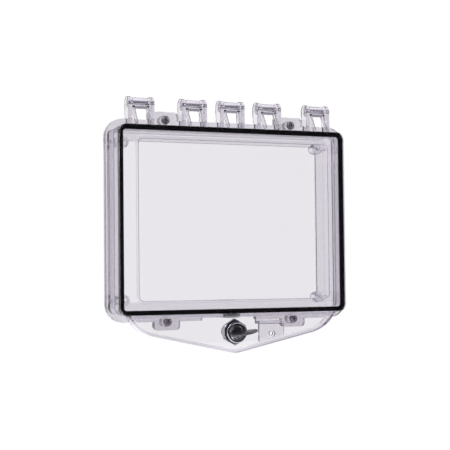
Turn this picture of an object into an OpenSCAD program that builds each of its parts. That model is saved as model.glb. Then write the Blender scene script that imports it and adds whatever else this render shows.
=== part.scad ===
// Clear lock box that goes over a wall thermostat.
// Origin: middle of the wall face. X to the right, Z up, front towards -Y.
// Places along the depth are written as a distance from the wall, so y = -distance.

/* [Case] */
// Clear width inside the walls
inside_w = 236; // [200:1:300]
// Clear height inside the walls
inside_h = 176; // [150:1:240]
// Radius of the inside corners
inside_corner = 3; // [2:0.5:6]
// Thickness of the back box walls
wall = 3.5; // [3:0.25:5]
// Depth of the back box, from the wall to the joint with the frame
box_depth = 22.5; // [20:0.5:50]
// Thickness of each of the two joined flanges
flange_t = 3.5; // [2.5:0.25:4]
// Reach of the flange past the wall, at the left and right
flange_side = 9.9; // [8:0.1:14]
// Reach of the flange past the wall, at the top and bottom
flange_end = 8; // [7:0.25:9]
// Radius of the flange corners
flange_corner = 18; // [12:1:24]
// Width of the lip round the open back, at the left and right
lip_side = 8.5; // [7:0.5:12]
// Width of the lip round the open back, at the top and bottom
lip_end = 7.5; // [6:0.5:12]
// Thickness of the lip
lip_t = 3.5; // [2.5:0.25:5]

/* [Wall fixing] */
// Distance of the wall screws from the side walls
fix_in_x = 10; // [8:0.5:14]
// Distance of the wall screws from the top and bottom walls
fix_in_z = 9.5; // [8:0.5:12]
// Diameter of the corner bosses
fix_boss_d = 11.5; // [10:0.5:14]
// Height of the corner bosses above the wall
fix_boss_h = 11; // [8:0.5:16]
// Diameter of the wall screw holes
fix_hole_d = 5; // [4:0.1:6]

/* [Frame and seal] */
// Thickness of the raised collar that carries the seal
collar_wall = 4.5; // [4:0.1:6]
// Rise of the collar in front of the frame flange
collar_rise = 11; // [9:0.5:14]
// Thickness of the seal
seal_t = 3; // [2:0.25:4]
// Gap between the seal and the shut cover
shut_gap = 0.1; // [0.05:0.05:0.5]

/* [Case screws] */
// Width of the screw tabs
tab_w = 27; // [20:1:30]
// Rise of the screw tabs past the flange
tab_rise = 8.5; // [6:0.5:9]
// Radius of the screw tab corners
tab_corner = 4; // [2:0.5:6]
// Diameter of the case screws
screw_d = 4; // [3:0.5:4.5]
// Diameter of the case screw heads
screw_head_d = 8.6; // [7:0.2:10]
// Height of the case screw heads
screw_head_h = 2.6; // [2:0.2:3]
// Length of the case screws under the head
screw_len = 11; // [9:0.5:12]
// Outer diameter of the threaded inserts
insert_d = 5.6; // [5.2:0.1:6]
// Length of the threaded inserts
insert_len = 8; // [6:0.5:9]
// Diameter of the bosses that hold the inserts
insert_boss_d = 9.5; // [8.5:0.5:11]

/* [Cover] */
// Thickness of the cover sheet
sheet = 3; // [2.5:0.25:4]
// Overhang of the cover rim past the seal
rim_over = 0.5; // [0.5:0.25:2]
// Rise of the raised panel in front of the rim
panel_rise = 2; // [1.5:0.25:3]
// Margin of the rim beside the raised panel
panel_margin = 16.5; // [12:0.5:24]
// Margin of the rim above the raised panel
panel_top_margin = 11; // [8:0.5:16]
// Radius of the corners of the raised panel
panel_corner = 8; // [6:0.5:12]
// Drop of the tip of the skirt below the inside of the case
skirt_drop = 44; // [42:0.5:48]
// Distance of the skirt sides from the inside of the side walls
skirt_in = 1.5; // [0:0.25:4]
// Height of the centres of the skirt corners above the floor of the case
skirt_rise = 11.5; // [8:0.5:14]
// Radius of the lower corners of the skirt
skirt_corner = 38; // [32:1:42]
// Radius of the tip of the skirt
skirt_tip = 24.5; // [18:0.5:32]
// Gap between the skirt wall and the frame
skirt_gap = 1; // [0.75:0.25:2]
// Set-back of the skirt plate behind the face of the rim
skirt_set = 5; // [3.5:0.25:6]
// Depth of the skirt wall behind the frame face, below the flange
skirt_back = 0; // [0:0.5:3]

/* [Hinges] */
// Distance of the inner hinges from the middle
hinge_near = 41.2; // [38:0.2:46]
// Distance of the outer hinges from the inside of the side walls
hinge_in = 21; // [14:0.5:22]
// Overall width of a hinge
hinge_w = 27; // [25:0.5:28]
// Diameter of the hinge pins
pin_d = 3; // [2.5:0.25:3.5]
// Height of the pins above the flange
pin_rise = 15.5; // [13:0.5:18]
// Distance of the pins in front of the frame flange
pin_front = 2.5; // [1:0.5:4]
// Thickness of the frame ears
ear_t = 4.2; // [3.5:0.1:5]
// Radius of the rounded top of the ears
ear_r = 6.5; // [6:0.25:7.5]
// Radius of the cover barrels
barrel_r = 5.5; // [4.5:0.25:5.75]
// Thickness of the cover legs beside each window
leg_t = 2.5; // [2:0.25:3.5]
// Depth of the cover legs
leg_depth = 5.5; // [4:0.25:6]
// Gap between an ear and the barrel
ear_gap = 0.5; // [0.3:0.1:1]
// Clearance between pin and barrel, on the radius
pin_play = 0.07; // [0.03:0.01:0.1]

/* [Lock] */
// Gap between the lock nut and the strike clip
nut_gap = 0.8; // [0.5:0.1:2]
// Diameter of the lock head
head_d = 22; // [20:0.5:24]
// Height of the lock head
head_t = 2.5; // [2:0.25:3.5]
// Thickness of the rubber ring under the head
ring_t = 0.8; // [0.5:0.1:1.2]
// Diameter of the lock body
body_d = 18; // [17:0.5:19]
// Width across the flats of the lock body
body_flats = 16; // [14:0.5:16.5]
// Width of the lock nut across its flats
nut_af = 23.4; // [21:0.2:24]
// Thickness of the lock nut
nut_t = 5; // [4:0.25:5]
// Diameter of the lock cylinder
plug_d = 12; // [11.5:0.25:13]
// Clearance round the lock cylinder, on the radius
plug_play = 0.05; // [0.03:0.01:0.1]
// Reach of the cylinder shoulder behind the lock body
plug_tail = 1.3; // [1:0.1:2]
// Side of the square that carries the cam
drive_w = 7; // [6:0.25:8]
// Bite of the cam behind the strike clip
cam_bite = 3.7; // [2.5:0.1:4.5]
// Gap between the cam and the strike clip
cam_gap = 0.2; // [0.1:0.05:0.5]
// Width of the cam
cam_w = 15; // [13:0.5:16]
// Thickness of the cam
cam_t = 2.5; // [2:0.25:3]
// Diameter of the cam screw
cam_screw_d = 4; // [3:0.5:4]
// Turn of the key and the cam away from level
key_turn = 11; // [0:1:20]
// Number of wafers in the cylinder
wafer_n = 6; // [3:1:7]
// Thickness of a wafer
wafer_t = 0.8; // [0.6:0.1:1]

/* [Key] */
// Thickness of the key
key_t = 2; // [1.6:0.1:2.2]
// Width of the key blade
key_w = 6.4; // [5.5:0.1:7]
// Diameter of the key bow
bow_d = 27; // [22:0.5:28]
// Length of the neck between blade and bow
key_neck = 3; // [2:0.5:6]
// Diameter of the hole in the bow
bow_hole_d = 4.5; // [3:0.5:6]
// Clearance round the key blade
key_play = 0.2; // [0.1:0.05:0.3]

/* [Seal tab and strike] */
// Left end of the flange notch over the lock
notch_left = 32; // [28:1:40]
// Height of the flange notch over the lock
notch_rise = 3.5; // [3:0.25:4.5]
// Width of the seal tab
seal_tab_w = 28; // [24:0.5:28]
// Gap between the seal tab and the screw tab beside it
tab_space = 0.6; // [0.5:0.1:2]
// Thickness of the seal tab
seal_tab_t = 3; // [2:0.25:3.5]
// Distance of the seal hole from the left side of the tab
seal_hole_in = 13.4; // [10:0.2:15]
// Height of the seal hole above the edge of the tab
seal_hole_up = 5.2; // [4.5:0.1:8]
// Diameter of the seal hole
seal_hole_d = 5; // [3:0.5:6]
// Extra width of the hole in the cover over the seal hole
seal_hole_play = 1; // [0.5:0.1:2]
// Gap between the seal tab and the cover
seal_tab_gap = 1.5; // [1:0.25:2.5]
// Width of the steel strike clip
strike_w = 16; // [12:1:18]
// Thickness of the strike clip
strike_t = 1.2; // [0.8:0.1:1.2]

/* [Hidden] */
// Small distance by which cuts run past a face
cut = 1;
// Play between pieces of one body that are pressed or screwed together
press = 0.02;

// Heights above and below the middle, and halves of the main widths
half_w = inside_w / 2;
half_h = inside_h / 2;
wall_w = inside_w + 2 * wall;
wall_h = inside_h + 2 * wall;
flange_w = wall_w + 2 * flange_side;
flange_h = wall_h + 2 * flange_end;
collar_w = inside_w + 2 * collar_wall;
collar_h = inside_h + 2 * collar_wall;
rim_w = collar_w + 2 * rim_over;
rim_h = collar_h + 2 * rim_over;

// Distances from the wall, from the back to the front
flange_back = box_depth - flange_t;
frame_face = box_depth + flange_t;
collar_face = frame_face + collar_rise;
seal_face = collar_face + seal_t;
rim_back = seal_face + shut_gap;
rim_face = rim_back + sheet;
panel_face = rim_face + panel_rise;
panel_back = panel_face - sheet;

// Raised panel
panel_w = rim_w - 2 * panel_margin;
panel_h = rim_h - 2 * panel_top_margin;

// Case screws stand midway between the inner and the outer hinges
hinge_far = half_w - hinge_in;
screw_x = (hinge_near + hinge_far) / 2;

// Outline and depth of the skirt
skirt_face = rim_face - skirt_set;
skirt_under = skirt_face - sheet;
step_z = -rim_h / 2;
skirt_half = half_w - skirt_in;
skirt_low = -half_h - skirt_drop;
skirt_side_z = -half_h + skirt_rise;
skirt_edge_x = skirt_half - skirt_corner;
skirt_tip_z = skirt_low + skirt_tip;
skirt_span = norm([skirt_edge_x, skirt_side_z - skirt_tip_z]);
skirt_slope = atan2(skirt_side_z - skirt_tip_z, skirt_edge_x)
    - acos((skirt_tip - skirt_corner) / skirt_span);
arc_steps = 14;

// Places of the case screws and the wall fixings
screw_z = flange_h / 2 + 0.3;
fix_x = half_w - fix_in_x;
fix_z = half_h - fix_in_z;

// Hinge line
pin_z = flange_h / 2 + pin_rise;
pin_out = frame_face + pin_front;
barrel_half = hinge_w / 2 - ear_t - ear_gap;
hinge_xs = [-hinge_far, -hinge_near, 0, hinge_near, hinge_far];

// Seal tab
seal_tab_x = screw_x - tab_w / 2 - tab_space - seal_tab_w;
seal_tab_face = skirt_under - seal_tab_gap;
seal_tab_back = seal_tab_face - seal_tab_t;
seal_shelf = -flange_h / 2 - 1.5;
notch_z = -flange_h / 2 + notch_rise;
seal_hole_x = seal_tab_x + seal_hole_in;
seal_hole_z = skirt_line(seal_hole_x, sheet + seal_tab_gap) + seal_hole_up;

// Lock, from the front to the back
clip_z = notch_z - strike_t;
nut_corner = nut_af / 2 / cos(30);
lock_z = clip_z - nut_gap - nut_corner;
head_back = skirt_face + ring_t;
head_face = head_back + head_t;
nut_back = skirt_under - nut_t;
plug_face = head_face - 0.2;
shoulder = flange_back - strike_t - cam_gap;
body_back = shoulder + plug_tail;
cam_back = shoulder - cam_t;
cam_len = clip_z - lock_z + cam_bite;
washer_t = 0.8;
washer_d = 9;
cam_screw_head_d = 7.5;
cam_screw_head_h = 2.8;
cam_screw_len = 6;
keyway_back = cam_back + cam_screw_len;
key_tip = keyway_back + 1;
wafer_first = plug_face - 3.5;
wafer_pitch = (wafer_first - wafer_t - key_tip - 1) / (wafer_n - 1);
wafer_w = 7;
wafer_h = 8.6;

// Height of the slanted skirt edge at x, drawn in by an inset
function skirt_line(x, inset) =
    skirt_tip_z + (skirt_tip - inset - x * cos(skirt_slope)) / sin(skirt_slope);

// Points of an arc about [cx, cz]
function arc(cx, cz, r, from, to) =
    [for (i = [0 : arc_steps]) let (a = from + (to - from) * i / arc_steps)
        [cx + r * cos(a), cz + r * sin(a)]];

// Skirt outline, drawn in by an inset
function skirt_points(inset) = concat(
    arc(skirt_edge_x, skirt_side_z, skirt_corner - inset, 0, skirt_slope),
    arc(0, skirt_tip_z, skirt_tip - inset, skirt_slope, -180 - skirt_slope),
    arc(-skirt_edge_x, skirt_side_z, skirt_corner - inset, -180 - skirt_slope, -180)
);

// Slab between two distances from the wall, from a flat shape in X and Z
module slab(from, to) {
    translate([0, -from, 0]) rotate([90, 0, 0]) linear_extrude(to - from) children();
}

// Bar between two places along X, from a flat shape in Y and Z
module bar(from, to) {
    translate([from, 0, 0]) rotate([90, 0, 90]) linear_extrude(to - from) children();
}

// Rod that runs towards the front, at x and z
module rod(d, from, to, x = 0, z = 0) {
    translate([x, -from, z]) rotate([90, 0, 0]) cylinder(d = d, h = to - from, $fn = 48);
}

// Rod that runs along X at a distance from the wall
module cross_rod(d, half, out, z) {
    translate([0, -out, z]) rotate([0, 90, 0]) cylinder(d = d, h = 2 * half, center = true, $fn = 48);
}

// Flat rectangle with rounded corners
module rounded(w, h, r) {
    square([w, h - 2 * r], center = true);
    square([w - 2 * r, h], center = true);
    for (sx = [-1, 1], sz = [-1, 1])
        translate([sx * (w / 2 - r), sz * (h / 2 - r)]) circle(r, $fn = 64);
}

// Repeats its children at the four case screws
module at_case_screws() {
    for (sx = [-1, 1], sz = [-1, 1]) translate([sx * screw_x, 0, sz * screw_z]) children();
}

// Outline shared by the flanges of the box and the frame
module flange_outline() {
    difference() {
        union() {
            rounded(flange_w, flange_h, flange_corner);
            for (sx = [-1, 1]) translate([sx * screw_x, 0])
                rounded(tab_w, flange_h + 2 * tab_rise, tab_corner);
        }
        rounded(inside_w, inside_h, inside_corner);
        translate([-notch_left, notch_z - notch_rise - cut])
            square([notch_left + seal_tab_x, notch_rise + cut]);
    }
}

// Back box: four walls, a flange, a lip round the open back and the corner bosses
module back_box() {
    color("#dcd8e6", 0.45) difference() {
        union() {
            slab(0, box_depth) difference() {
                rounded(wall_w, wall_h, inside_corner + wall);
                rounded(inside_w, inside_h, inside_corner);
            }
            slab(0, lip_t) difference() {
                rounded(wall_w, wall_h, inside_corner + wall);
                rounded(inside_w - 2 * lip_side, inside_h - 2 * lip_end, inside_corner);
            }
            slab(flange_back, box_depth) flange_outline();
            for (sx = [-1, 1], sz = [-1, 1]) {
                rod(fix_boss_d, 0, fix_boss_h, sx * fix_x, sz * fix_z);
                fixing_web(sx, sz);
            }
            at_case_screws() insert_boss();
        }
        for (sx = [-1, 1], sz = [-1, 1])
            rod(fix_hole_d, -cut, fix_boss_h + cut, sx * fix_x, sz * fix_z);
        at_case_screws() rod(insert_d + 2 * press, box_depth - insert_len - cut, box_depth + cut);
    }
}

// Web that ties a corner boss to the side wall
module fixing_web(sx, sz) {
    web = 2.5;
    slab(0, fix_boss_h - 2)
        translate([sx > 0 ? fix_x + fix_boss_d / 2 - cut : -half_w - cut, sz * fix_z - web / 2])
        square([half_w - fix_x - fix_boss_d / 2 + 2 * cut, web]);
}

// Boss behind a screw tab
module insert_boss() {
    rod(insert_boss_d, box_depth - insert_len - 2, box_depth - flange_t / 2);
}

// Frame: flange, seal collar and hinge ears
module frame() {
    color("#dcd8e6", 0.45) difference() {
        union() {
            slab(box_depth, frame_face) flange_outline();
            slab(box_depth, collar_face) difference() {
                rounded(collar_w, collar_h, inside_corner + collar_wall);
                rounded(inside_w, inside_h, inside_corner);
            }
            for (x = hinge_xs, side = [-1, 1]) translate([x, 0, 0]) hinge_ear(side);
        }
        for (x = hinge_xs) translate([x, 0, 0])
            cross_rod(pin_d + 2 * press, hinge_w / 2 + cut, pin_out, pin_z);
        at_case_screws() rod(screw_d + 0.6, box_depth - cut, frame_face + cut);
    }
}

// One ear: a rounded plate on the edge of the frame flange
module hinge_ear(side) {
    inner = hinge_w / 2 - ear_t;
    bar(side > 0 ? inner : -hinge_w / 2, side > 0 ? hinge_w / 2 : -inner) {
        translate([-pin_out, pin_z]) circle(ear_r, $fn = 64);
        translate([-pin_out - ear_r, flange_h / 2 + 0.5])
            square([2 * ear_r, pin_z - flange_h / 2 - 0.5]);
        translate([-pin_out - ear_r, collar_h / 2 - cut])
            square([pin_out + ear_r - box_depth, pin_z - collar_h / 2 + cut]);
    }
}

// Stepped tab for a seal or padlock, moulded on the lower edge of the frame flange
module seal_tab() {
    color("#dcd8e6", 0.45) difference() {
        intersection() {
            bar(seal_tab_x, seal_tab_x + seal_tab_w) {
                translate([-frame_face, seal_shelf - seal_tab_t])
                    square([flange_t, -flange_h / 2 - seal_shelf + seal_tab_t]);
                translate([-seal_tab_face, seal_shelf - seal_tab_t])
                    square([seal_tab_face - box_depth, seal_tab_t]);
                translate([-seal_tab_face, skirt_low])
                    square([seal_tab_t, seal_shelf - skirt_low]);
            }
            slab(0, panel_face) polygon(skirt_points(sheet + seal_tab_gap));
        }
        rod(seal_hole_d, seal_tab_back - cut, seal_tab_face + cut, seal_hole_x, seal_hole_z);
    }
}

// Soft seal on the face of the collar
module cover_seal() {
    color("#101014") slab(collar_face, seal_face) difference() {
        rounded(collar_w, collar_h, inside_corner + collar_wall);
        rounded(inside_w, inside_h, inside_corner);
    }
}

// Cover: rim over the seal, raised panel, set back skirt round the lock and the hinge arms
module cover() {
    color("#e4e0ec", 0.35) difference() {
        union() {
            slab(rim_back, rim_face)
                rounded(rim_w, rim_h, inside_corner + collar_wall + rim_over);
            slab(rim_back, panel_face) rounded(panel_w, panel_h, panel_corner);
            slab(rim_back, rim_face) skirt_band(step_z - sheet, step_z + cut);
            slab(skirt_under, rim_face) skirt_band(step_z - sheet, step_z);
            slab(frame_face + skirt_gap, skirt_face) skirt_band(skirt_low - cut, step_z);
            slab(frame_face - skirt_back, skirt_face)
                skirt_band(skirt_low - cut, -flange_h / 2 - skirt_gap);
            for (x = hinge_xs) translate([x, 0, 0]) hinge_arm();
        }
        slab(rim_back - cut, panel_back)
            rounded(panel_w - 2 * sheet, panel_h - 2 * sheet, panel_corner - sheet);
        slab(flange_back - skirt_back, skirt_under) polygon(skirt_points(sheet));
        lock_hole();
        rod(seal_hole_d + seal_hole_play, skirt_under - cut, skirt_face + cut, seal_hole_x, seal_hole_z);
        for (x = hinge_xs) translate([x, 0, 0])
            cross_rod(pin_d + 2 * pin_play, hinge_w / 2, pin_out, pin_z);
    }
}

// Flat part of the skirt outline between two heights
module skirt_band(low, top) {
    intersection() {
        polygon(skirt_points(0));
        translate([-inside_w, low]) square([2 * inside_w, top - low]);
    }
}

// Hole for the lock body, with two flats
module lock_hole() {
    intersection() {
        rod(body_d + 2 * press, skirt_under - cut, skirt_face + cut, 0, lock_z);
        slab(skirt_under - cut, skirt_face + cut) translate([0, lock_z])
            square([body_flats + 2 * press, 2 * body_d], center = true);
    }
}

// Two legs and a barrel, with an open window between the legs
module hinge_arm() {
    out = rim_back + sheet / 2 - pin_out;
    drop = pin_z - rim_h / 2;
    run = norm([out, drop]);
    side = [drop, out] * leg_depth / 2 / run;
    for (s = [-1, 1]) bar(s > 0 ? barrel_half - leg_t : -barrel_half, s > 0 ? barrel_half : leg_t - barrel_half)
        polygon([
            [-pin_out - side[0], pin_z + side[1]],
            [-pin_out + side[0], pin_z - side[1]],
            [-rim_back, rim_h / 2],
            [-rim_back, rim_h / 2 - cut],
            [-rim_face, rim_h / 2 - cut],
            [-rim_face, rim_h / 2 + cut]
        ]);
    cross_rod(2 * barrel_r, barrel_half, pin_out, pin_z);
}

// One hinge pin
module hinge_pin(x) {
    color("#a8a8ac") translate([x, 0, 0]) cross_rod(pin_d, hinge_w / 2 - 0.2, pin_out, pin_z);
}

// Pan head screws that join the frame to the back box
module case_screws() {
    color("#4a4a50") at_case_screws() difference() {
        union() {
            rod(screw_d - 2 * press, frame_face - screw_len, frame_face + press);
            translate([0, -frame_face, 0]) rotate([90, 0, 0]) screw_head();
        }
        slab(frame_face + screw_head_h / 2, frame_face + screw_head_h + cut) cross_recess();
    }
}

// Pan head with a rounded upper edge
module screw_head() {
    edge = screw_head_h * 0.45;
    rotate_extrude($fn = 48) {
        square([screw_head_d / 2, screw_head_h - edge]);
        square([screw_head_d / 2 - edge, screw_head_h]);
        translate([screw_head_d / 2 - edge, screw_head_h - edge]) intersection() {
            circle(edge, $fn = 32);
            square(edge);
        }
    }
}

// Cross shape of the screw recess
module cross_recess() {
    square([screw_head_d * 0.55, 1.1], center = true);
    square([1.1, screw_head_d * 0.55], center = true);
}

// Threaded inserts in the back box
module case_inserts() {
    color("#b08d4c") at_case_screws() difference() {
        rod(insert_d, box_depth - insert_len, box_depth);
        rod(screw_d, box_depth - insert_len - cut, box_depth + cut);
    }
}

// Steel clip over the edge of the flanges, where the cam bears
module strike_clip() {
    color("#9aa09c") bar(-strike_w / 2, strike_w / 2) {
        translate([-frame_face - strike_t, clip_z])
            square([2 * flange_t + 2 * strike_t, strike_t]);
        translate([-frame_face - strike_t, clip_z])
            square([strike_t, -clip_z - collar_h / 2 - 0.5]);
        translate([-flange_back, clip_z])
            square([strike_t, -clip_z - wall_h / 2 - 0.5]);
    }
}

// Lock body: bevelled head and a barrel with two flats
module lock_body() {
    bevel = 0.8;
    color("#85858c") translate([0, 0, lock_z]) difference() {
        union() {
            translate([0, -head_back, 0]) rotate([90, 0, 0]) {
                cylinder(d = head_d, h = head_t - bevel, $fn = 64);
                translate([0, 0, head_t - bevel])
                    cylinder(d1 = head_d, d2 = head_d - 2 * bevel, h = bevel, $fn = 64);
            }
            intersection() {
                rod(body_d, body_back, head_back + bevel);
                slab(body_back, head_back + bevel) square([body_flats, 2 * body_d], center = true);
            }
        }
        rod(plug_d + 2 * plug_play, body_back - cut, head_face + cut);
    }
}

// Rubber ring between the lock head and the cover
module lock_ring() {
    color("#1c1c20") translate([0, 0, lock_z]) difference() {
        rod(head_d - 1, skirt_face, head_back);
        rod(body_d + 2 * press, skirt_face - cut, head_back + cut);
    }
}

// Hexagon nut behind the cover, with a corner up
module lock_nut() {
    color("#85858c") translate([0, 0, lock_z]) difference() {
        slab(nut_back, skirt_under) rotate(90) circle(r = nut_corner, $fn = 6);
        rod(body_d + 2 * press, nut_back - cut, skirt_under + cut);
    }
}

// Turns its children with the key about the lock axis
module keyed() {
    translate([0, 0, lock_z]) rotate([0, -key_turn, 0]) children();
}

// Lock cylinder with its keyway, wafer slots and square tail
module lock_cylinder() {
    color("#9c9ca4") keyed() difference() {
        union() {
            rod(plug_d, shoulder, plug_face);
            slab(cam_back + 0.2, shoulder) square(drive_w, center = true);
        }
        slab(keyway_back, plug_face + cut)
            square([key_w + 2 * key_play, key_t + 2 * key_play], center = true);
        for (i = [0 : wafer_n - 1]) wafer_slab(i, wafer_t + 2 * press)
            square([wafer_w + 2 * press, wafer_h + 2 * press], center = true);
        rod(cam_screw_d, cam_back - cut, cam_back + cam_screw_len - 0.8);
    }
}

// Slab at the place of a wafer
module wafer_slab(i, t) {
    middle = wafer_first - wafer_t / 2 - i * wafer_pitch;
    slab(middle - t / 2, middle + t / 2) children();
}

// Wafers that the key passes through
module lock_wafers() {
    color("#b89a5a") keyed() for (i = [0 : wafer_n - 1]) wafer_slab(i, wafer_t) difference() {
        square([wafer_w, wafer_h], center = true);
        square([key_w + 1.5 * key_play, key_t + 2 * key_play], center = true);
    }
}

// Cam plate with a round tip and a square hole
module lock_cam() {
    color("#a2a6a4") keyed() slab(cam_back, shoulder) difference() {
        union() {
            circle(d = cam_w, $fn = 64);
            translate([0, -cam_w / 2]) square([cam_len - cam_w / 2, cam_w]);
            translate([cam_len - cam_w / 2, 0]) circle(d = cam_w, $fn = 64);
        }
        square(drive_w + 0.2, center = true);
    }
}

// Washer under the cam screw
module cam_washer() {
    color("#a8a8ac") keyed() difference() {
        rod(washer_d, cam_back - washer_t, cam_back);
        rod(cam_screw_d + 0.3, cam_back - washer_t - cut, cam_back + cut);
    }
}

// Screw that holds the cam on the cylinder
module cam_screw() {
    under_head = cam_back - washer_t;
    color("#8a8a90") keyed() difference() {
        union() {
            rod(cam_screw_d - 2 * press, under_head - press, under_head + cam_screw_len);
            rod(cam_screw_head_d, under_head - cam_screw_head_h, under_head);
        }
        slab(under_head - cam_screw_head_h - cut, under_head - cam_screw_head_h / 2)
            square([cam_screw_head_d + cut, 1], center = true);
    }
}

// Flat key: round bow with a hole, neck and a blade with cuts
module key() {
    bow_out = head_face + key_neck + bow_d / 2;
    color("#8c8c94") keyed() translate([0, 0, -key_t / 2]) linear_extrude(key_t) difference() {
        union() {
            translate([0, -bow_out]) circle(d = bow_d, $fn = 72);
            translate([-key_w / 2 - 1, -bow_out]) square([key_w + 2, bow_out - head_face - 0.2]);
            translate([-key_w / 2, -bow_out]) square([key_w, bow_out - key_tip - key_w / 2]);
            translate([0, -key_tip - key_w / 2]) intersection() {
                circle(d = key_w, $fn = 32);
                square(2 * key_w, center = true);
            }
        }
        translate([0, -bow_out - bow_d / 2 + bow_hole_d / 2 + 2]) circle(d = bow_hole_d, $fn = 32);
        for (i = [0 : wafer_n - 1]) key_cut(i);
    }
}

// Cut in the edge of the blade at a wafer
module key_cut(i) {
    middle = wafer_first - wafer_t / 2 - i * wafer_pitch;
    depth = 0.7 + 0.5 * (i % 3);
    translate([key_w / 2, -middle]) polygon([[-depth, -0.5], [0.1, -1.2], [0.1, 1.2], [-depth, 0.5]]);
}

back_box();
frame();
seal_tab();
cover_seal();
cover();
hinge_pin(hinge_xs[0]);  // hinge_pin_1
hinge_pin(hinge_xs[1]);  // hinge_pin_2
hinge_pin(hinge_xs[2]);  // hinge_pin_3
hinge_pin(hinge_xs[3]);  // hinge_pin_4
hinge_pin(hinge_xs[4]);  // hinge_pin_5
case_screws();
case_inserts();
strike_clip();
lock_body();
lock_ring();
lock_nut();
lock_cylinder();
lock_wafers();
lock_cam();
cam_washer();
cam_screw();
key();
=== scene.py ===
import math

import bmesh
import bpy
from mathutils import Matrix, Vector


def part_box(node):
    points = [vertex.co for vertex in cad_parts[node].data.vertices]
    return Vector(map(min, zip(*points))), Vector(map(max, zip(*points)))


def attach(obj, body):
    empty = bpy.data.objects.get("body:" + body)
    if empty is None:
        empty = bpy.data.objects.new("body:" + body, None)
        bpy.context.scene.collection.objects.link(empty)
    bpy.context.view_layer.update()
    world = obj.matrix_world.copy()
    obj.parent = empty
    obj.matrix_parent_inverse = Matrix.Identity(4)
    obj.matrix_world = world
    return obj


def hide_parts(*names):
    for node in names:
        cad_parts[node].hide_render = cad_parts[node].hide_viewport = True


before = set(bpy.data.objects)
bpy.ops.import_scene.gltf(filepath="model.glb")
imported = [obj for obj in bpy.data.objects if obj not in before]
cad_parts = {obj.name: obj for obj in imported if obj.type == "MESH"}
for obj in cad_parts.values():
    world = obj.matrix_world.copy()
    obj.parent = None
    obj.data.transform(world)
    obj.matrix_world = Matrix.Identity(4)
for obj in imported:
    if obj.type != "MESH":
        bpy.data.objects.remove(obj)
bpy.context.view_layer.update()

MM = 0.001

MATH = "ShaderNodeMath"
MIX = "ShaderNodeMix"
NOISE = "ShaderNodeTexNoise"
RANGE = "ShaderNodeMapRange"
VECTOR = "ShaderNodeVectorMath"
# Sockets of a colour mix: its two colours and its result.
COLOUR_A, COLOUR_B, BLEND = 6, 7, 2

# Corners of a square, in order round it.
SQUARE = ((-1, -1), (1, -1), (1, 1), (-1, 1))


# Camera: in front of the box, to its left and a little below its middle.

CAMERA_PLACE = (-0.48595, -1.13702, -0.05373)
CAMERA_YAW = math.radians(23.3755)
CAMERA_PITCH = math.radians(2.3597)
CAMERA_ROLL = math.radians(-0.5979)
CAMERA_LENS = 96.0


def make_camera():
    """Camera turned right by its yaw, up by its pitch, and rolled about its own axis."""
    ahead = Vector((
        math.sin(CAMERA_YAW) * math.cos(CAMERA_PITCH),
        math.cos(CAMERA_YAW) * math.cos(CAMERA_PITCH),
        math.sin(CAMERA_PITCH),
    ))
    level = Vector((math.cos(CAMERA_YAW), -math.sin(CAMERA_YAW), 0.0))
    upright = level.cross(ahead)
    right = level * math.cos(CAMERA_ROLL) + upright * math.sin(CAMERA_ROLL)
    up = upright * math.cos(CAMERA_ROLL) - level * math.sin(CAMERA_ROLL)
    data = bpy.data.cameras.new("camera")
    data.lens = CAMERA_LENS
    data.sensor_width = 36.0
    data.clip_start = 0.01
    camera = bpy.data.objects.new("camera", data)
    turn = Matrix((right, up, -ahead)).transposed().to_4x4()
    camera.matrix_world = Matrix.Translation(CAMERA_PLACE) @ turn
    bpy.context.scene.collection.objects.link(camera)
    bpy.context.scene.camera = camera


make_camera()


# Materials.

def linear(code):
    """Linear colour of an sRGB hex code such as "c8cad0"."""
    parts = [int(code[i:i + 2], 16) / 255 for i in (0, 2, 4)]
    return tuple(p / 12.92 if p <= 0.04045 else ((p + 0.055) / 1.055) ** 2.4 for p in parts) + (1.0,)


def feed(tree, node, inputs):
    """Gives sockets a value or what another node gives; a hex code is a colour."""
    for name, value in inputs.items():
        if isinstance(value, bpy.types.Node):
            value = value.outputs[0]
        if isinstance(value, bpy.types.NodeSocket):
            tree.links.new(value, node.inputs[name])
        else:
            node.inputs[name].default_value = linear(value) if isinstance(value, str) else value


def add(tree, kind, inputs=None, **settings):
    """Adds a node with its settings, and feeds its sockets."""
    node = tree.nodes.new(kind)
    for name, value in settings.items():
        setattr(node, name, value)
    feed(tree, node, inputs or {})
    return node


def start_finish(name, **constants):
    """New material with constants on its shader: its node tree, its shader and the place on the piece."""
    material = bpy.data.materials.new(name)
    material.use_nodes = True
    tree = material.node_tree
    shader = tree.nodes["Principled BSDF"]
    feed(tree, shader, {key.replace("_", " "): value for key, value in constants.items()})
    return material, tree, shader, add(tree, "ShaderNodeTexCoord").outputs["Object"]


def clear_polycarbonate(mark_mm=25.0, wave_mm=18.0, wave_height_mm=0.012, density=60.0):
    """Injection moulded polycarbonate: clear with a trace of grey violet, darker on edge."""
    material, tree, shader, where = start_finish(
        "clear_polycarbonate_moulded", Base_Color="fcfbfd", IOR=1.586, Transmission_Weight=1.0
    )
    # Marks of handling dull the gloss a little, and the melt left long waves a few microns high.
    marks = add(tree, NOISE, {"Vector": where, "Scale": 1 / (mark_mm * MM), "Detail": 4.0})
    waves = add(tree, NOISE, {"Vector": where, "Scale": 1 / (wave_mm * MM), "Detail": 1.0})
    feed(tree, shader, {
        "Roughness": add(tree, RANGE, {"Value": marks, "To Min": 0.0, "To Max": 0.05}),
        "Normal": add(tree, "ShaderNodeBump", {"Height": waves, "Distance": wave_height_mm * MM}),
    })
    # A sheet of 3 mm keeps back less than a tenth of the light, and a wall seen on edge much more.
    tint = add(tree, "ShaderNodeVolumeAbsorption", {"Color": "c1b9cb", "Density": density})
    feed(tree, tree.nodes["Material Output"], {"Volume": tint})
    return material


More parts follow.
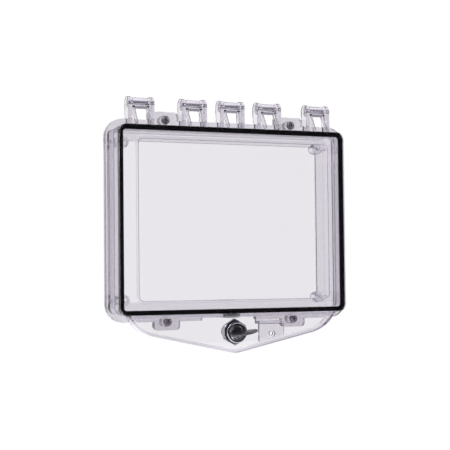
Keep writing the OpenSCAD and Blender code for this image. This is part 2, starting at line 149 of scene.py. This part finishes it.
def black_rubber(name, dark, light, roughness, cell_mm, cell_depth_mm, shine, patch_mm=14.0):
    """Rubber: black in two shades, with cells or a grain and little gloss."""
    material, tree, shader, where = start_finish(name, IOR=1.5, Specular_IOR_Level=shine)
    cells = add(tree, NOISE, {"Vector": where, "Scale": 1 / (cell_mm * MM), "Detail": 3.0})
    patches = add(tree, NOISE, {"Vector": where, "Scale": 1 / (patch_mm * MM)})
    shades = add(tree, MIX, {"Factor": patches, COLOUR_A: dark, COLOUR_B: light}, data_type="RGBA")
    feed(tree, shader, {
        "Base Color": shades.outputs[BLEND],
        "Roughness": add(tree, RANGE, {"Value": cells, "To Min": roughness[0], "To Max": roughness[1]}),
        "Normal": add(tree, "ShaderNodeBump", {"Height": cells, "Distance": cell_depth_mm * MM}),
    })
    return material


def metal(
    name, dark, light, roughness, blotch_mm, stretch=(1.0, 1.0, 1.0), grain_mm=0.3, grain_depth_mm=0.004
):
    """Bare or plated metal: two tones in blotches, and a fine grain that can be drawn out along an axis."""
    material, tree, shader, where = start_finish(name, Metallic=1.0)
    drawn = add(tree, "ShaderNodeMapping", {"Vector": where, "Scale": stretch})
    blotches = add(tree, NOISE, {"Vector": where, "Scale": 1 / (blotch_mm * MM), "Detail": 3.0})
    # The noise keeps to the middle of its range, which is spread over both tones.
    spread = add(tree, RANGE, {"Value": blotches, "From Min": 0.3, "From Max": 0.7})
    tones = add(tree, MIX, {"Factor": spread, COLOUR_A: dark, COLOUR_B: light}, data_type="RGBA")
    grain = add(tree, NOISE, {"Vector": drawn, "Scale": 1 / (grain_mm * MM), "Detail": 3.0})
    feed(tree, shader, {
        "Base Color": tones.outputs[BLEND],
        "Roughness": add(tree, RANGE, {"Value": grain, "To Min": roughness[0], "To Max": roughness[1]}),
        "Normal": add(tree, "ShaderNodeBump", {"Height": grain, "Distance": grain_depth_mm * MM}),
    })
    return material


FINISH = {
    # Polished moulding: it shows what is behind it, and darkens to a lavender grey along its walls.
    "clear_polycarbonate": clear_polycarbonate(),
    # Closed-cell foam, die cut: cells under a millimetre swallow the light, so it is a very matt black.
    "black_rubber": black_rubber(
        "black_foam_rubber_die_cut", "030305", "08080b", roughness=(0.75, 0.95), cell_mm=0.9,
        cell_depth_mm=0.12, shine=0.15,
    ),
    # Drawn and cut wire: fine lines along the pin, which is along X.
    "stainless_steel": metal(
        "stainless_steel_drawn", "b4b4b8", "c6c6ca", roughness=(0.22, 0.38), blotch_mm=6.0,
        stretch=(0.05, 1.0, 1.0), grain_mm=0.25,
    ),
    # Black nickel on steel: dark grey and satin, paler where it has rubbed.
    "dark_steel": metal("black_nickel_steel", "6b686f", "a19ea6", roughness=(0.32, 0.5), blotch_mm=1.5),
    # Turned brass, dulled by handling.
    "brass": metal(
        "turned_brass", "a8843e", "c9a45c", roughness=(0.22, 0.4), blotch_mm=2.0, stretch=(1.0, 0.1, 1.0)
    ),
    # Bright zinc plate with a pale passivation, slightly mottled.
    "zinc_plated_steel": metal(
        "zinc_plated_steel_stamped", "a4aaa6", "c2c8c4", roughness=(0.25, 0.42), blotch_mm=3.0
    ),
    # Die-cast zinc with bright chrome plate: a mirror with a faint orange peel.
    "bright_chrome": metal(
        "bright_chrome_plate", "9c9ba4", "bdbcc4", roughness=(0.05, 0.14), blotch_mm=4.0, grain_mm=1.2,
        grain_depth_mm=0.003,
    ),
    # Nickel silver, blanked and tumbled: a dull grey with soft, drawn-out scratches.
    "nickel_silver": metal(
        "nickel_silver_blanked", "504e52", "706e72", roughness=(0.25, 0.42), blotch_mm=3.0,
        stretch=(0.25, 1.0, 1.0),
    ),
}
# Moulded nitrile: black with a low gloss and a grain of half a millimetre.
NITRILE = black_rubber(
    "black_nitrile_rubber_moulded", "0b0b0d", "17171a", roughness=(0.45, 0.6), cell_mm=0.5,
    cell_depth_mm=0.02, shine=0.5,
)


# Meshes.

def new_piece(name, mesh):
    """Object for a mesh."""
    piece = bpy.data.objects.new(name, mesh)
    bpy.context.scene.collection.objects.link(piece)
    return piece


def merged_copy(node, name):
    """Closed copy of a CAD node's mesh."""
    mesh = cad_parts[node].data.copy()
    mesh.name = name
    shape = bmesh.new()
    shape.from_mesh(mesh)
    bmesh.ops.remove_doubles(shape, verts=shape.verts, dist=0.002 * MM)
    shape.to_mesh(mesh)
    shape.free()
    mesh.materials.clear()
    return new_piece(name, mesh)


def make_plain(piece):
    """Turns a piece with modifiers into its plain result."""
    bpy.context.view_layer.update()
    seen = piece.evaluated_get(bpy.context.evaluated_depsgraph_get())
    result = bpy.data.meshes.new_from_object(seen)
    result.name = piece.name
    piece.modifiers.clear()
    piece.data = result


def make_smooth(piece):
    """Shades the faces of a piece as one curve."""
    piece.data.polygons.foreach_set("use_smooth", [True] * len(piece.data.polygons))


def soften(piece, width_mm, segments=2, angle_deg=28.0):
    """Rounds the sharp edges of a piece and makes its curved faces smooth."""
    make_smooth(piece)
    edges = piece.modifiers.new("edges", "BEVEL")
    edges.width = width_mm * MM
    edges.segments = segments
    edges.limit_method = "ANGLE"
    edges.angle_limit = math.radians(angle_deg)
    edges.use_clamp_overlap = False
    # Rounded edges that slide along the thin triangles of a hole's rim would run out into spikes.
    edges.loop_slide = False
    flats = piece.modifiers.new("flats", "WEIGHTED_NORMAL")
    flats.mode = "FACE_AREA"
    flats.weight = 100
    make_plain(piece)


def on_face(vertex, out_mm):
    """Whether a vertex lies on the flat face at a distance from the wall."""
    return abs(vertex.co.y + out_mm * MM) < 0.01 * MM


def round_face(piece, out_mm, width_mm, corner_deg=57.3):
    """Rounds the outward edges of the flat face at a distance from the wall."""
    shape = bmesh.new()
    shape.from_mesh(piece.data)
    edges = [
        edge for edge in shape.edges
        if len(edge.link_faces) == 2 and edge.is_convex and edge.calc_face_angle() > math.radians(corner_deg)
        and all(on_face(vertex, out_mm) for vertex in edge.verts)
    ]
    bmesh.ops.bevel(shape, geom=edges, offset=width_mm * MM, segments=4, profile=0.5, affect="EDGES")
    shape.to_mesh(piece.data)
    shape.free()


def move_face(piece, out_mm, by_mm):
    """Moves the flat face at a distance from the wall, to leave a thin gap at a joint."""
    for vertex in piece.data.vertices:
        if on_face(vertex, out_mm):
            vertex.co.y -= by_mm * MM


def combine(piece, other, operation):
    """Joins another piece to this one, cuts it away or keeps what both hold; the other is removed."""
    step = piece.modifiers.new("solid", "BOOLEAN")
    step.operation = operation
    step.solver = "EXACT"
    step.object = other
    make_plain(piece)
    bpy.data.objects.remove(other)


def piece_of(shape, name):
    """Piece with a new shape's faces, turned outwards."""
    bmesh.ops.recalc_face_normals(shape, faces=shape.faces)
    mesh = bpy.data.meshes.new(name)
    shape.to_mesh(mesh)
    shape.free()
    return new_piece(name, mesh)


def turned(name, profile, steps=64, z_mm=0.0):
    """Solid of revolution about an axis towards the front, from (radius, distance from the wall) points.

    The profile closes on the axis where it starts and ends there, and otherwise on itself, round a bore.
    """
    shape = bmesh.new()
    rings = []
    for radius, out in profile:
        turns = [2 * math.pi * i / steps for i in range(steps if radius > 0 else 1)]
        ring = [
            shape.verts.new((radius * math.cos(a) * MM, -out * MM, (z_mm + radius * math.sin(a)) * MM))
            for a in turns
        ]
        rings.append(ring * (steps // len(ring)))
    after = rings[1:] + ([] if profile[0][0] == 0 else rings[:1])
    for one, two in zip(rings, after):
        for i in range(steps):
            k = (i + 1) % steps
            corners = list(dict.fromkeys((one[i], one[k], two[k], two[i])))
            if len(corners) > 2:
                shape.faces.new(corners)
    piece = piece_of(shape, name)
    make_smooth(piece)
    return piece


def stretch_of(radius, start, end, step_mm=0.12):
    """Profile points close together along a straight stretch, for ridges to form on."""
    count = max(2, round(abs(end - start) / step_mm))
    return [(radius, start + (end - start) * i / count) for i in range(count + 1)]


def bar(name, width, height, back, front, taper):
    """Bar towards the front, narrower at its back by a taper."""
    shape = bmesh.new()
    for out, part in ((back, taper), (front, 1.0)):
        for x, z in SQUARE:
            shape.verts.new((x * width / 2 * part * MM, -out * MM, z * height / 2 * part * MM))
    corner = list(shape.verts)
    for face in ((0, 1, 2, 3), (4, 5, 6, 7), (0, 1, 5, 4), (1, 2, 6, 5), (2, 3, 7, 6), (3, 0, 4, 7)):
        shape.faces.new([corner[i] for i in face])
    return piece_of(shape, name)


def fit(piece, body, slot, *nodes, material=None):
    """Gives a piece its material, lets it ride on its body and stand for CAD nodes."""
    piece.data.materials.clear()
    piece.data.materials.append(material or FINISH[slot])
    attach(piece, body)
    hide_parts(*nodes)


# Geometry trees: ridges for threads and knurls, and copies at places.

def new_tree(name, **sockets):
    """Geometry tree with a named input for each size, and those inputs."""
    tree = bpy.data.node_groups.new(name, "GeometryNodeTree")
    tree.interface.new_socket("Geometry", in_out="INPUT", socket_type="NodeSocketGeometry")
    for label, kind in sockets.items():
        tree.interface.new_socket(label, in_out="INPUT", socket_type="NodeSocket" + kind)
    tree.interface.new_socket("Geometry", in_out="OUTPUT", socket_type="NodeSocketGeometry")
    return tree, add(tree, "NodeGroupInput").outputs


def end_tree(tree, geometry, finish):
    """Ends a tree with real geometry in its material."""
    real = add(tree, "GeometryNodeRealizeInstances", {"Geometry": geometry})
    coated = add(tree, "GeometryNodeSetMaterial", {"Geometry": real, "Material": finish})
    add(tree, "NodeGroupOutput", {"Geometry": coated})
    return tree


def ridge_tree(skin=0.93):
    """Ridges on a rod towards the front: one that winds is a thread, many straight ones are a knurl.

    Points beyond the skin's share of the radius are on the outside of the rod.
    """
    tree, given = new_tree(
        "ridges", Radius="Float", Depth="Float", Count="Float", Turns="Float", Back="Float", Front="Float",
        Flat="Float", Up="Float", Finish="Material",
    )
    at = add(tree, "ShaderNodeSeparateXYZ", {0: add(tree, "GeometryNodeInputPosition")}).outputs
    up = add(tree, MATH, {0: at["Z"], 1: given["Up"]}, operation="SUBTRACT")
    out = add(tree, MATH, {0: at["Y"], 1: -1.0}, operation="MULTIPLY")
    spoke = add(tree, "ShaderNodeCombineXYZ", {"X": at["X"], "Z": up})
    reach = add(tree, VECTOR, {0: spoke}, operation="LENGTH").outputs["Value"]
    angle = add(tree, MATH, {0: up, 1: at["X"]}, operation="ARCTAN2")
    share = add(tree, MATH, {0: angle, 1: 2 * math.pi}, operation="DIVIDE")
    around = add(tree, MATH, {0: share, 1: given["Count"]}, operation="MULTIPLY")
    phase = add(tree, MATH, {0: out, 1: given["Turns"], 2: around}, operation="MULTIPLY_ADD")
    # The depth swings evenly between the crest and the root.
    swing = add(tree, MATH, {0: phase, 1: 0.5}, operation="PINGPONG")
    depth = add(tree, MATH, {0: swing, 1: 2.0}, operation="MULTIPLY")
    sunk = add(tree, MATH, {0: depth, 1: given["Depth"]}, operation="MULTIPLY")
    wanted = add(tree, MATH, {0: given["Radius"], 1: sunk}, operation="SUBTRACT")
    # Two flats along the rod cut the ridges off at their distance from the axis.
    sideways = add(tree, MATH, {0: at["X"]}, operation="ABSOLUTE")
    slant = add(tree, MATH, {0: sideways, 1: reach}, operation="DIVIDE")
    limit = add(tree, MATH, {0: given["Flat"], 1: slant}, operation="DIVIDE")
    wanted = add(tree, MATH, {0: wanted, 1: limit}, operation="MINIMUM")
    # Only points on the outside of the rod move, between its ends.
    past = add(tree, MATH, {0: out, 1: given["Back"]}, operation="GREATER_THAN")
    short = add(tree, MATH, {0: out, 1: given["Front"]}, operation="LESS_THAN")
    inner = add(tree, MATH, {0: given["Radius"], 1: skin}, operation="MULTIPLY")
    outside = add(tree, MATH, {0: reach, 1: inner}, operation="GREATER_THAN")
    chosen = add(tree, MATH, {0: past, 1: short}, operation="MULTIPLY")
    chosen = add(tree, MATH, {0: chosen, 1: outside}, operation="MULTIPLY")
    growth = add(tree, MATH, {0: wanted, 1: reach}, operation="DIVIDE")
    growth = add(tree, MATH, {0: growth, 1: 1.0}, operation="SUBTRACT")
    shift = add(tree, VECTOR, {0: spoke, "Scale": growth}, operation="SCALE")
    moved = add(tree, "GeometryNodeSetPosition", {
        "Geometry": given["Geometry"], "Selection": chosen, "Offset": shift,
    })
    return end_tree(tree, moved, given["Finish"])


def copy_tree():
    """A copy of a pattern piece at each point."""
    tree, given = new_tree("copies", Pattern="Object", Finish="Material")
    pattern = add(tree, "GeometryNodeObjectInfo", {"Object": given["Pattern"]})
    copies = add(tree, "GeometryNodeInstanceOnPoints", {
        "Points": given["Geometry"], "Instance": pattern.outputs["Geometry"],
    })
    return end_tree(tree, copies, given["Finish"])


def run_tree(piece, tree, **values):
    """Runs a geometry tree on a piece with these inputs and keeps the plain result."""
    step = piece.modifiers.new(tree.name, "NODES")
    step.node_group = tree
    for item in tree.interface.items_tree:
        if item.in_out == "INPUT" and item.name in values:
            step[item.identifier] = values[item.name]
    make_plain(piece)


RIDGES = ridge_tree()
COPIES = copy_tree()
# Distance in metres at which a flat cuts nothing off.
NO_FLAT = 1.0
# Depth of a thread as a share of its pitch.
THREAD_DEPTH = 0.6
# Plain stretch in millimetres that is left at the end of ridges.
RIDGE_MARGIN = 0.1


def cut_thread(piece, finish, diameter, pitch, back, front, flat=NO_FLAT, z_mm=0.0):
    """Cuts a thread between two distances from the wall."""
    run_tree(
        piece, RIDGES, Radius=diameter / 2 * MM, Depth=THREAD_DEPTH * pitch * MM, Count=1.0,
        Turns=1.0 / (pitch * MM), Back=back * MM, Front=front * MM, Flat=flat, Up=z_mm * MM, Finish=finish,
    )


def copies_at(name, pattern, places_mm, finish):
    """One piece with a copy of the pattern at each place; the pattern is removed."""
    mesh = bpy.data.meshes.new(name)
    mesh.from_pydata([[c * MM for c in spot] for spot in places_mm], [], [])
    piece = new_piece(name, mesh)
    run_tree(piece, COPIES, Pattern=pattern, Finish=finish)
    bpy.data.objects.remove(pattern)
    return piece


# Places of the solids. From here on sizes are in millimetres.

def out_of(node):
    """Distances of a node's back and front from the wall."""
    low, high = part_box(node)
    return -high.y / MM, -low.y / MM


def middle_of(node):
    """Middle of a node, across, out of the wall and up."""
    low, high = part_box(node)
    return [(a + b) / 2 / MM for a, b in zip(low, high)]


SCREW_HEAD_D = 8.6
SCREW_HEAD_H = 2.6

screw_back, screw_front = out_of("case_screws")
screw_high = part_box("case_screws")[1]
screw_x = screw_high.x / MM - SCREW_HEAD_D / 2
screw_z = screw_high.z / MM - SCREW_HEAD_D / 2
CORNERS = [(side * screw_x, 0.0, end * screw_z) for side in (-1, 1) for end in (-1, 1)]
LOCK_Z = middle_of("lock_ring")[2]


# Clear mouldings.

JOINT_GAP = 0.04
MOULDED_EDGE = 0.4
PANEL_RISE = 2.0
PANEL_EDGE = 1.2

joint_out = out_of("back_box")[1]
box = merged_copy("back_box", "clear_back_box")
move_face(box, joint_out, -JOINT_GAP)
soften(box, MOULDED_EDGE)
fit(box, "case", "clear_polycarbonate", "back_box")

front = merged_copy("frame", "clear_frame")
combine(front, merged_copy("seal_tab", "tab"), "UNION")
move_face(front, joint_out, JOINT_GAP)
soften(front, MOULDED_EDGE)
fit(front, "case", "clear_polycarbonate", "frame", "seal_tab")

lid = merged_copy("cover", "clear_cover")
round_face(lid, out_of("cover")[1] - PANEL_RISE, PANEL_EDGE)
soften(lid, MOULDED_EDGE)
fit(lid, "cover", "clear_polycarbonate", "cover")


# Seals.

FOAM_EDGE = 0.6
RING_EDGE = 0.25

seal = merged_copy("cover_seal", "foam_seal")
soften(seal, FOAM_EDGE, segments=3)
fit(seal, "case", "black_rubber", "cover_seal")

ring = merged_copy("lock_ring", "rubber_ring")
soften(ring, RING_EDGE)
fit(ring, "cover", "black_rubber", "lock_ring", material=NITRILE)


# Fixings.

# Drawn screw heads stay this far inside their solids, and pins a little less.
HEAD_INSIDE = 0.02
PIN_INSIDE = 0.01

SCREW_D = 3.94
SCREW_PITCH = 0.7
SCREW_NECK = 0.3
# The crown starts at this share of the head's height, and the power makes its rim full and its top flat.
CROWN_START = 0.35
CROWN_POWER = 0.7
# The floor of the recess is at this share of the head's height, and its span is a share of the head.
RECESS_FLOOR = 0.45
RECESS_SPAN = 0.56
RECESS_WIDTH = 1.1
RECESS_TAPER = 0.55

INSERT_BORE_R = 2.02
INSERT_END_R = 2.55
INSERT_CHAMFER = 0.3
GROOVE_R = 2.3
GROOVE_HALF = 0.6
GROOVE_SLOPE = 0.2
KNURL_R = 2.78
KNURL_DEPTH = 0.3
KNURL_COUNT = 24.0

PIN_CHAMFER = 0.5
PIN_EDGE = 0.12

# Directions on a rounded rim, from its side to its front.
RIM_TURNS = [math.radians(15 * i) for i in range(7)]


def pan_head_screw(name, back, seat, finish):
    """Machine screw with its tip at the back, a low rounded head and a cross recess."""
    head_d = SCREW_HEAD_D - 2 * HEAD_INSIDE
    head_h = SCREW_HEAD_H - HEAD_INSIDE
    top = seat + head_h
    crown_h = head_h * (1 - CROWN_START)
    crown = [
        (head_d / 2 * math.cos(a) ** CROWN_POWER, seat + head_h * CROWN_START + crown_h * math.sin(a))
        for a in RIM_TURNS[:-1]
    ]
    screw = turned(name, (
        [(0.0, back), (SCREW_D / 2 - 0.5 * SCREW_PITCH, back)]
        + stretch_of(SCREW_D / 2, back + 0.5 * SCREW_PITCH, seat - SCREW_NECK, SCREW_PITCH / 7)
        + [(SCREW_D / 2, seat), (head_d / 2, seat)] + crown + [(0.0, top)]
    ))
    cut_thread(screw, finish, SCREW_D, SCREW_PITCH, back, seat - SCREW_NECK - RIDGE_MARGIN)
    bottom = seat + head_h * RECESS_FLOOR
    span = head_d * RECESS_SPAN
    cross = bar("recess", span, RECESS_WIDTH, bottom, top + 1, RECESS_TAPER)
    combine(cross, bar("recess_arm", RECESS_WIDTH, span, bottom, top + 1, RECESS_TAPER), "UNION")
    combine(screw, cross, "DIFFERENCE")
    return screw


pattern = pan_head_screw("screw", screw_back, screw_front - SCREW_HEAD_H, FINISH["dark_steel"])
screws = copies_at("pan_head_screws", pattern, CORNERS, FINISH["dark_steel"])
fit(screws, "case", "dark_steel", "case_screws")

insert_back, insert_front = out_of("case_inserts")
groove = (insert_back + insert_front) / 2
groove_side = GROOVE_HALF + GROOVE_SLOPE
pattern = turned("insert", (
    [(INSERT_BORE_R, insert_back), (INSERT_END_R, insert_back)]
    + stretch_of(KNURL_R, insert_back + INSERT_CHAMFER, groove - groove_side)
    + [(GROOVE_R, groove - GROOVE_HALF), (GROOVE_R, groove + GROOVE_HALF)]
    + stretch_of(KNURL_R, groove + groove_side, insert_front - INSERT_CHAMFER)
    + [(INSERT_END_R, insert_front), (INSERT_BORE_R, insert_front)]
), steps=96)
run_tree(
    pattern, RIDGES, Radius=KNURL_R * MM, Depth=KNURL_DEPTH * MM, Count=KNURL_COUNT, Turns=0.0,
    Back=(insert_back + INSERT_CHAMFER + RIDGE_MARGIN) * MM,
    Front=(insert_front - INSERT_CHAMFER - RIDGE_MARGIN) * MM,
    Flat=NO_FLAT, Up=0.0, Finish=FINISH["brass"],
)
inserts = copies_at("knurled_inserts", pattern, CORNERS, FINISH["brass"])
fit(inserts, "case", "brass", "case_inserts")

PIN_NODES = ["hinge_pin_%d" % (i + 1) for i in range(5)]
pin_low, pin_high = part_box(PIN_NODES[0])
pin_half = (pin_high.x - pin_low.x) / 2 / MM - PIN_INSIDE
pin_r = (pin_high.z - pin_low.z) / 2 / MM - PIN_INSIDE
pattern = turned("pin", [
    (0.0, -pin_half), (pin_r - PIN_CHAMFER, -pin_half), (pin_r, -pin_half + PIN_CHAMFER),
    (pin_r, pin_half - PIN_CHAMFER), (pin_r - PIN_CHAMFER, pin_half), (0.0, pin_half),
], steps=32)
pattern.data.transform(Matrix.Rotation(math.radians(90), 4, "Z"))
pins = copies_at("hinge_pins", pattern, [middle_of(node) for node in PIN_NODES], FINISH["stainless_steel"])
soften(pins, PIN_EDGE, angle_deg=35.0)
fit(pins, "case", "stainless_steel", *PIN_NODES)


# Lock.

LOCK_BORE_R = 6.05
LOCK_TIP_R = 8.4
LOCK_THREAD_R = 8.98
LOCK_PITCH = 1.0
# Steps along the thread, and the plain lengths behind and in front of it.
LOCK_STEP = 0.14
LOCK_LEAD = 0.6
LOCK_NECK = 0.2
# Two flats along the thread stand this far from the axis.
LOCK_FLAT = 7.99
LOCK_HEAD_R = 11.0
LOCK_RIM = 0.8
# The face of the head sinks a little round the cylinder, between these radii.
SUNK_START_R = 7.2
SUNK_END_R = 6.9
SUNK_DEPTH = 0.25

body_back, head_face = out_of("lock_body")
head_back = out_of("lock_ring")[1]
rim = [
    (LOCK_HEAD_R - LOCK_RIM + LOCK_RIM * math.cos(a), head_face - LOCK_RIM + LOCK_RIM * math.sin(a))
    for a in RIM_TURNS
]
body = turned("chromed_lock_body", (
    [(LOCK_BORE_R, body_back), (LOCK_TIP_R, body_back)]
    + stretch_of(LOCK_THREAD_R, body_back + LOCK_LEAD, head_back - LOCK_NECK, LOCK_STEP)
    + [(LOCK_THREAD_R, head_back), (LOCK_HEAD_R, head_back)] + rim
    + [(SUNK_START_R, head_face), (SUNK_END_R, head_face - SUNK_DEPTH), (LOCK_BORE_R, head_face - SUNK_DEPTH)]
), steps=96, z_mm=LOCK_Z)
cut_thread(
    body, FINISH["bright_chrome"], 2 * LOCK_THREAD_R, LOCK_PITCH, body_back + RIDGE_MARGIN,
    head_back - RIDGE_MARGIN, flat=LOCK_FLAT * MM, z_mm=LOCK_Z,
)
fit(body, "cover", "bright_chrome", "lock_body")

# The nut's corners are turned off at both ends, from inside the corners to a little past them.
NUT_ACROSS = 23.4
NUT_CORNER_R = NUT_ACROSS / 2 / math.cos(math.radians(30))
NUT_END_R = NUT_CORNER_R - 1.6
NUT_SIDE_R = NUT_CORNER_R + 0.2
NUT_CHAMFER = 1.0
NUT_EDGE = 0.15

nut_back, nut_front = out_of("lock_nut")
nut = merged_copy("lock_nut", "chamfered_nut")
combine(nut, turned("blank", [
    (0.0, nut_back), (NUT_END_R, nut_back), (NUT_SIDE_R, nut_back + NUT_CHAMFER),
    (NUT_SIDE_R, nut_front - NUT_CHAMFER), (NUT_END_R, nut_front), (0.0, nut_front),
], steps=96, z_mm=LOCK_Z), "INTERSECT")
soften(nut, NUT_EDGE)
fit(nut, "cover", "bright_chrome", "lock_nut")

# Pieces that only get rounded edges, each with the width of its rounding.
for node, name, body_name, slot, edge in (
    ("lock_cylinder", "chromed_lock_cylinder", "cylinder", "bright_chrome", 0.12),
    ("lock_cam", "zinc_cam", "cylinder", "zinc_plated_steel", 0.25),
    ("cam_washer", "zinc_washer", "cylinder", "zinc_plated_steel", 0.12),
    ("cam_screw", "zinc_cam_screw", "cylinder", "zinc_plated_steel", 0.2),
    ("strike_clip", "zinc_strike_clip", "case", "zinc_plated_steel", 0.2),
    ("key", "flat_key", "key", "nickel_silver", 0.25),
):
    part = merged_copy(node, name)
    soften(part, edge)
    fit(part, body_name, slot, node)


# The wafers inside the lock keep their shape and get their finish.

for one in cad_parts["lock_wafers"].material_slots:
    one.material = FINISH["brass"]


# Studio: a pale floor, a white surround with cards, and soft lamps. Its sizes are in metres.

FLOOR_DROP = 0.12
FLOOR_HALF = 1.5
FIBRE_MM = 4.0
# Light added where the floor is seen, on top of what falls on it.
FLOOR_LIFT = 0.45
ROOM_LIGHT = 0.55
# Middle of the black card, in front of the box and to its right, and how far in degrees its soft edge
# starts and ends from there.
CARD = (0.397, -0.917, 0.041)
CARD_EDGE = (16.0, 9.0)
# The surround dims to the ceiling between these heights of a direction, and clears from the dark front
# room between these depths.
CEILING = (0.25, 0.6)
FRONT_ROOM = (-0.75, -0.1)


def seen_directly(tree):
    """1 for rays from the camera, a gloss or a clear part, and 0 for the light that falls on things."""
    path = add(tree, "ShaderNodeLightPath").outputs
    either = add(tree, MATH, {0: path["Is Camera Ray"], 1: path["Is Glossy Ray"]}, operation="MAXIMUM")
    return add(tree, MATH, {0: either, 1: path["Is Transmission Ray"]}, operation="MAXIMUM")


def make_floor():
    """Pale matt floor below the box. It is seen white where it is lit and keeps the shadow."""
    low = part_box("cover")[0].z - FLOOR_DROP
    mesh = bpy.data.meshes.new("floor")
    mesh.from_pydata([(x * FLOOR_HALF, y * FLOOR_HALF, low) for x, y in SQUARE], [], [(0, 1, 2, 3)])
    floor = new_piece("floor", mesh)
    material, tree, shader, where = start_finish("pale_floor_paper", Roughness=0.9, Specular_IOR_Level=0.1)
    fibre = add(tree, NOISE, {"Vector": where, "Scale": 1 / (FIBRE_MM * MM), "Detail": 3.0})
    paper = add(tree, MIX, {"Factor": fibre, COLOUR_A: "f4f4f5", COLOUR_B: "fbfbfb"}, data_type="RGBA")
    feed(tree, shader, {"Base Color": paper.outputs[BLEND]})
    lift = add(tree, MATH, {0: seen_directly(tree), 1: FLOOR_LIFT}, operation="MULTIPLY")
    glow = add(tree, "ShaderNodeEmission", {"Color": "ffffff", "Strength": lift})
    both = add(tree, "ShaderNodeAddShader", {0: shader, 1: glow})
    # It is clear from below, so that the box can be seen from there.
    below = add(tree, "ShaderNodeNewGeometry").outputs["Backfacing"]
    clear = add(tree, "ShaderNodeBsdfTransparent")
    feed(tree, tree.nodes["Material Output"], {
        "Surface": add(tree, "ShaderNodeMixShader", {0: below, 1: both, 2: clear}),
    })
    mesh.materials.append(material)


def make_surround():
    """World that is white behind the box, has cards to be mirrored, and lights evenly from all sides."""
    world = bpy.data.worlds.new("studio")
    world.use_nodes = True
    tree = world.node_tree
    tree.nodes.clear()
    direction = add(tree, "ShaderNodeTexCoord").outputs["Generated"]
    toward = add(tree, "ShaderNodeSeparateXYZ", {0: direction}).outputs
    # Through clear parts and mirrored inside them it is white, but for a dim ceiling and a black card in
    # front that keeps their faces free of glare.
    overhead = add(tree, RANGE, {
        "Value": toward["Z"], "From Min": CEILING[0], "From Max": CEILING[1],
    }, interpolation_type="SMOOTHSTEP")
    sky = add(tree, MIX, {"Factor": overhead, COLOUR_A: "ffffff", COLOUR_B: "a59eab"}, data_type="RGBA")
    facing = add(tree, VECTOR, {0: direction, 1: CARD}, operation="DOT_PRODUCT").outputs["Value"]
    on_card = add(tree, RANGE, {
        "Value": facing, "From Min": math.cos(math.radians(CARD_EDGE[0])),
        "From Max": math.cos(math.radians(CARD_EDGE[1])),
    }, interpolation_type="SMOOTHSTEP")
    cards = add(tree, MIX, {
        "Factor": on_card, COLOUR_A: sky.outputs[BLEND], COLOUR_B: "16151a",
    }, data_type="RGBA")
    # Mirrored from outside it is a dark room in front of the box and white behind and beside it.
    room = add(tree, RANGE, {
        "Value": toward["Y"], "From Min": FRONT_ROOM[0], "From Max": FRONT_ROOM[1],
    }, interpolation_type="SMOOTHSTEP")
    walls = add(tree, MIX, {"Factor": room, COLOUR_A: "3b393e", COLOUR_B: "ffffff"}, data_type="RGBA")
    path = add(tree, "ShaderNodeLightPath").outputs
    mirrored = add(tree, MIX, {
        "Factor": path["Is Transmission Ray"], COLOUR_A: walls.outputs[BLEND],
        COLOUR_B: cards.outputs[BLEND],
    }, data_type="RGBA")
    shown = add(tree, MIX, {
        "Factor": path["Is Camera Ray"], COLOUR_A: mirrored.outputs[BLEND], COLOUR_B: "ffffff",
    }, data_type="RGBA")
    seen = add(tree, "ShaderNodeBackground", {"Color": shown.outputs[BLEND], "Strength": 1.0})
    light = add(tree, "ShaderNodeBackground", {"Color": "ffffff", "Strength": ROOM_LIGHT})
    mixed = add(tree, "ShaderNodeMixShader", {0: seen_directly(tree), 1: light, 2: seen})
    add(tree, "ShaderNodeOutputWorld", {"Surface": mixed})
    bpy.context.scene.world = world


def make_lamp(name, at, size, power):
    """Square soft lamp that faces the middle of the box."""
    data = bpy.data.lights.new(name, "AREA")
    data.size = size
    data.energy = power
    lamp = bpy.data.objects.new(name, data)
    lamp.location = at
    lamp.rotation_euler = (-Vector(at)).to_track_quat("-Z", "Y").to_euler()
    bpy.context.scene.collection.objects.link(lamp)


make_floor()
make_surround()
make_lamp("key_lamp", at=(-1.1, -1.2, 1.3), size=1.2, power=18.0)
make_lamp("fill_lamp", at=(1.4, -1.1, 0.7), size=1.0, power=8.0)

scene = bpy.context.scene
scene.view_settings.view_transform = "Standard"

bpy.context.view_layer.update()
